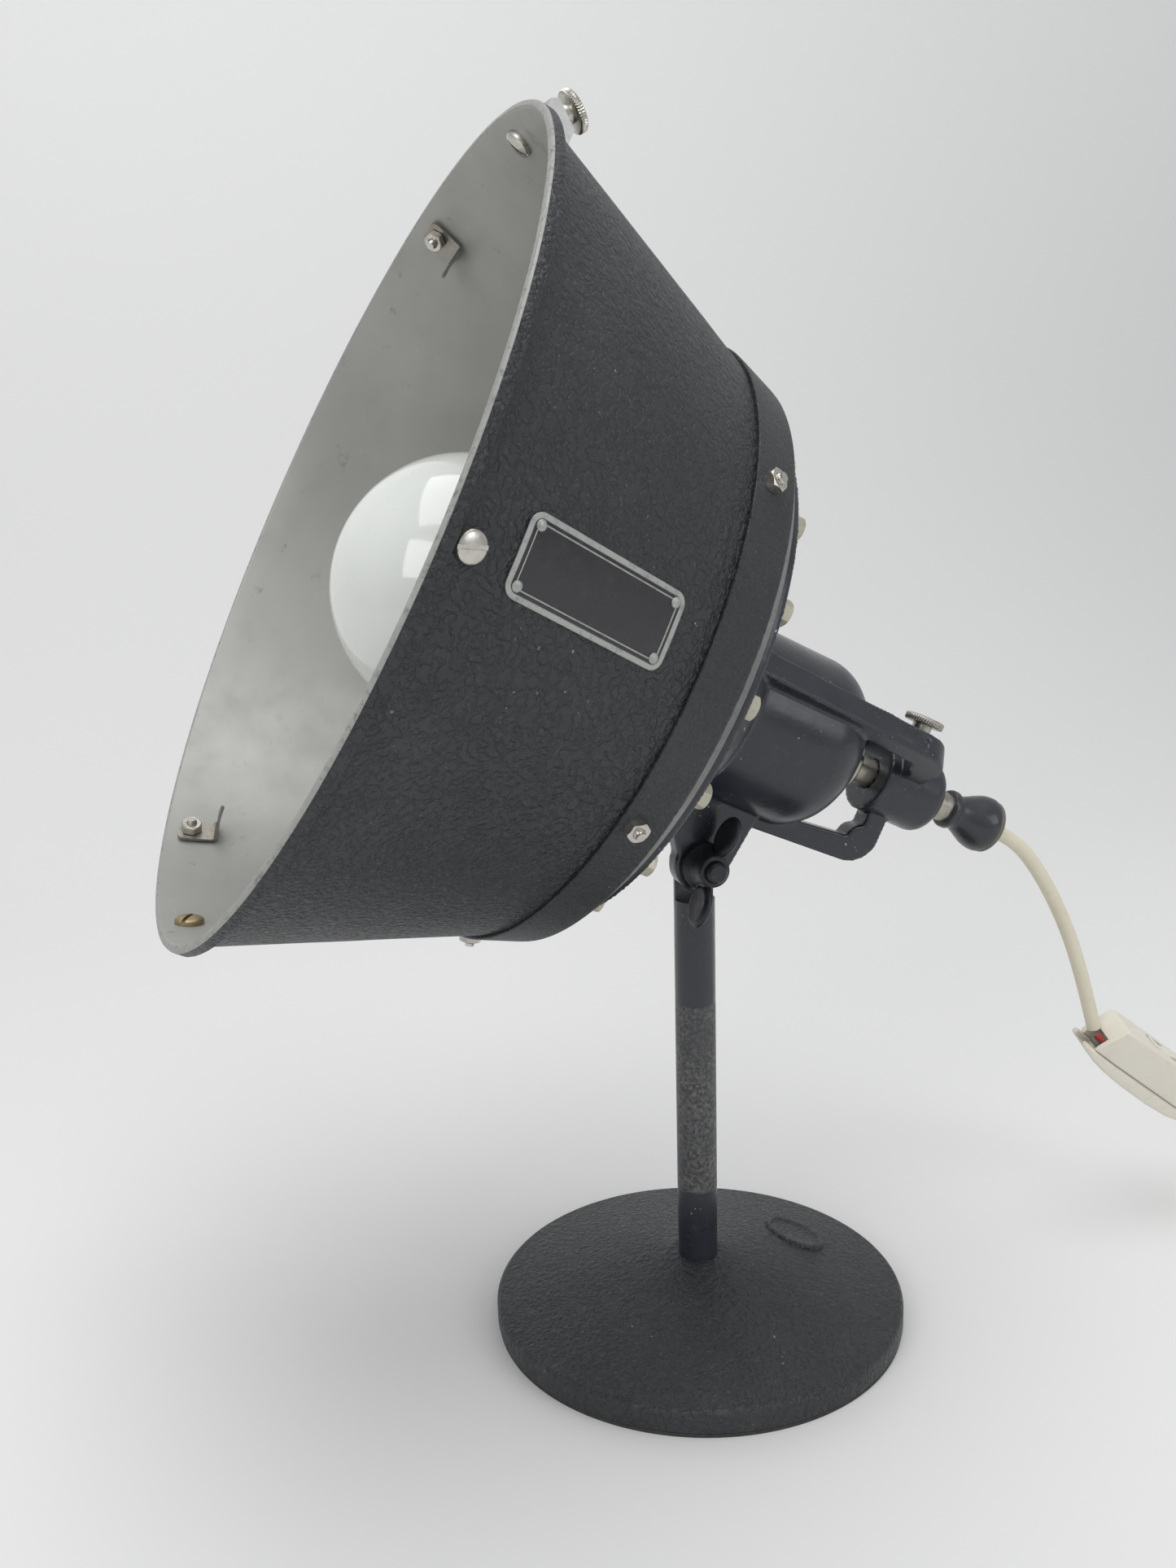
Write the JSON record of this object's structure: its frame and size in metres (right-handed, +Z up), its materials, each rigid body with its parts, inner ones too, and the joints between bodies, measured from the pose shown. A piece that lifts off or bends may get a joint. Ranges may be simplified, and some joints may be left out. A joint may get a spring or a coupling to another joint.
{
  "type": "photographic reflector lamp",
  "caption": "Table photo lamp: round cast base, post with tilting head, cone reflector, opal globe bulb on a sliding focus tube, rim clips, cord with inline switch.",
  "frame": {"origin": "centre of the base's underside, on the surface it stands on", "axes": "+Z up along the post, -Y the way the light shines, +X towards the wing nut"},
  "size_m": [0.299, 0.5966, 0.4664],
  "materials": {
    "crackle_black": "crackle-textured black enamel with worn edges",
    "crackle_sheet": "crackle-textured black enamel outside, aluminium paint inside",
    "house_black": "semi-gloss blue-black enamel on a light alloy casting",
    "nickel": "tarnished nickel-plated steel",
    "steel": "plain steel, slightly rusted",
    "alu": "bare aluminium",
    "brass": "tarnished brass",
    "felt": "black rubber ring",
    "porcelain": "white porcelain",
    "opal": "opal glass",
    "cord_cream": "cream flexible cord",
    "enamel_black": "glossy black enamel, rubbed bare in places",
    "moulding_black": "black moulded plastic",
    "rubber_grey": "grey rubber ring",
    "switch_white": "warm white moulded plastic",
    "plug_white": "cream moulded plastic",
    "clear_glass": "clear glass",
    "plate_black": "black-filled blank plate with bare border"
  },
  "bodies": {
    "stand": {"base_casting": "crackle_black", "foot_ring": "felt", "post": "enamel_black", "post_washer": "steel", "post_nut": "steel", "hinge_stud": "enamel_black", "hinge_washer": "enamel_black", "cord_drop": "cord_cream", "cord_floor": "cord_cream", "cord_coil": "cord_cream", "cord_tail": "cord_cream", "plug_body": "plug_white", "plug_pins": "brass", "switch_base": "switch_white", "switch_cover": "switch_white", "switch_screws": "steel", "switch_contacts": "brass"},
    "head": {"lamp_house": "house_black", "rear_dish": "crackle_sheet", "shade_cone": "crackle_sheet", "flange_bolts": "nickel", "flange_nuts": "nickel", "seam_screws": "nickel", "seam_nuts": "nickel", "clip_screws": "nickel", "clip_spacers": "steel", "clip_nuts": "nickel", "rim_screws": "brass", "rim_nut": "nickel", "clamp_block": "alu", "name_plate": "plate_black", "plate_rivets": "alu", "tube_bush": "nickel"},
    "focus": {"focus_tube": "nickel", "cord_gland": "moulding_black", "gland_ring": "rubber_grey", "tube_lead": "cord_cream", "socket_carrier": "steel", "holder_body": "porcelain", "holder_shell": "brass", "centre_contact": "brass", "holder_screws": "steel", "cord_lead": "cord_cream"},
    "bulb": {"bulb_globe": "opal", "bulb_cap": "brass", "bulb_contact": "brass", "filament_mount": "clear_glass"},
    "wing": {"wing_nut": "enamel_black"},
    "lock": {"lock_screw": "nickel"},
    "thumb": {"rim_thumbscrew": "nickel"},
    "clip_a": {"spring_clip_1": "steel"},
    "clip_b": {"spring_clip_2": "steel"},
    "clip_c": {"spring_clip_3": "steel"},
    "rocker": {"switch_rocker": "switch_white"}
  },
  "joints": [
    {"name": "head_tilt", "type": "hinge", "parent": "stand", "child": "head", "pos_m": [0, 0, 0.193], "axis": [-1, 0, 0], "range_deg": [-61, 63], "deforming": ["cord_drop"]},
    {"name": "focus_slide", "type": "slide", "parent": "head", "child": "focus", "axis": [0, -0.8934, 0.4493], "range_m": [-0.026, 0.008], "deforming": ["cord_drop"]},
    {"name": "bulb_out", "type": "slide", "parent": "focus", "child": "bulb", "axis": [0, -0.8934, 0.4493], "range_m": [0, 0.15]},
    {"name": "wing_turn", "type": "hinge", "parent": "stand", "child": "wing", "pos_m": [0.015, 0, 0.193], "axis": [1, 0, 0], "range_deg": [-180, 180]},
    {"name": "lock_turn", "type": "hinge", "parent": "head", "child": "lock", "pos_m": [0, 0.09758, 0.23123], "axis": [0, 0.4493, 0.8934], "continuous": true},
    {"name": "thumb_turn", "type": "hinge", "parent": "head", "child": "thumb", "pos_m": [0, -0.0457, 0.4569], "axis": [0, 0.8851, 0.4654], "continuous": true},
    {"name": "clip_turn_a", "type": "hinge", "parent": "head", "child": "clip_a", "pos_m": [0.14432, -0.12212, 0.32498], "axis": [0.938, 0.3231, -0.1258], "range_deg": [-80, 80]},
    {"name": "clip_turn_b", "type": "hinge", "parent": "head", "child": "clip_b", "pos_m": [-0.07652, -0.06936, 0.42989], "axis": [-0.4974, 0.666, 0.556], "range_deg": [-80, 80]},
    {"name": "clip_turn_c", "type": "hinge", "parent": "head", "child": "clip_c", "pos_m": [-0.0678, -0.18167, 0.20657], "axis": [-0.4406, -0.064, -0.8954], "range_deg": [-80, 80]},
    {"name": "rocker_tip", "type": "hinge", "parent": "stand", "child": "rocker", "pos_m": [0, 0.22573, 0.07972], "axis": [1, 0, 0], "range_deg": [0, 11]}
  ]
}
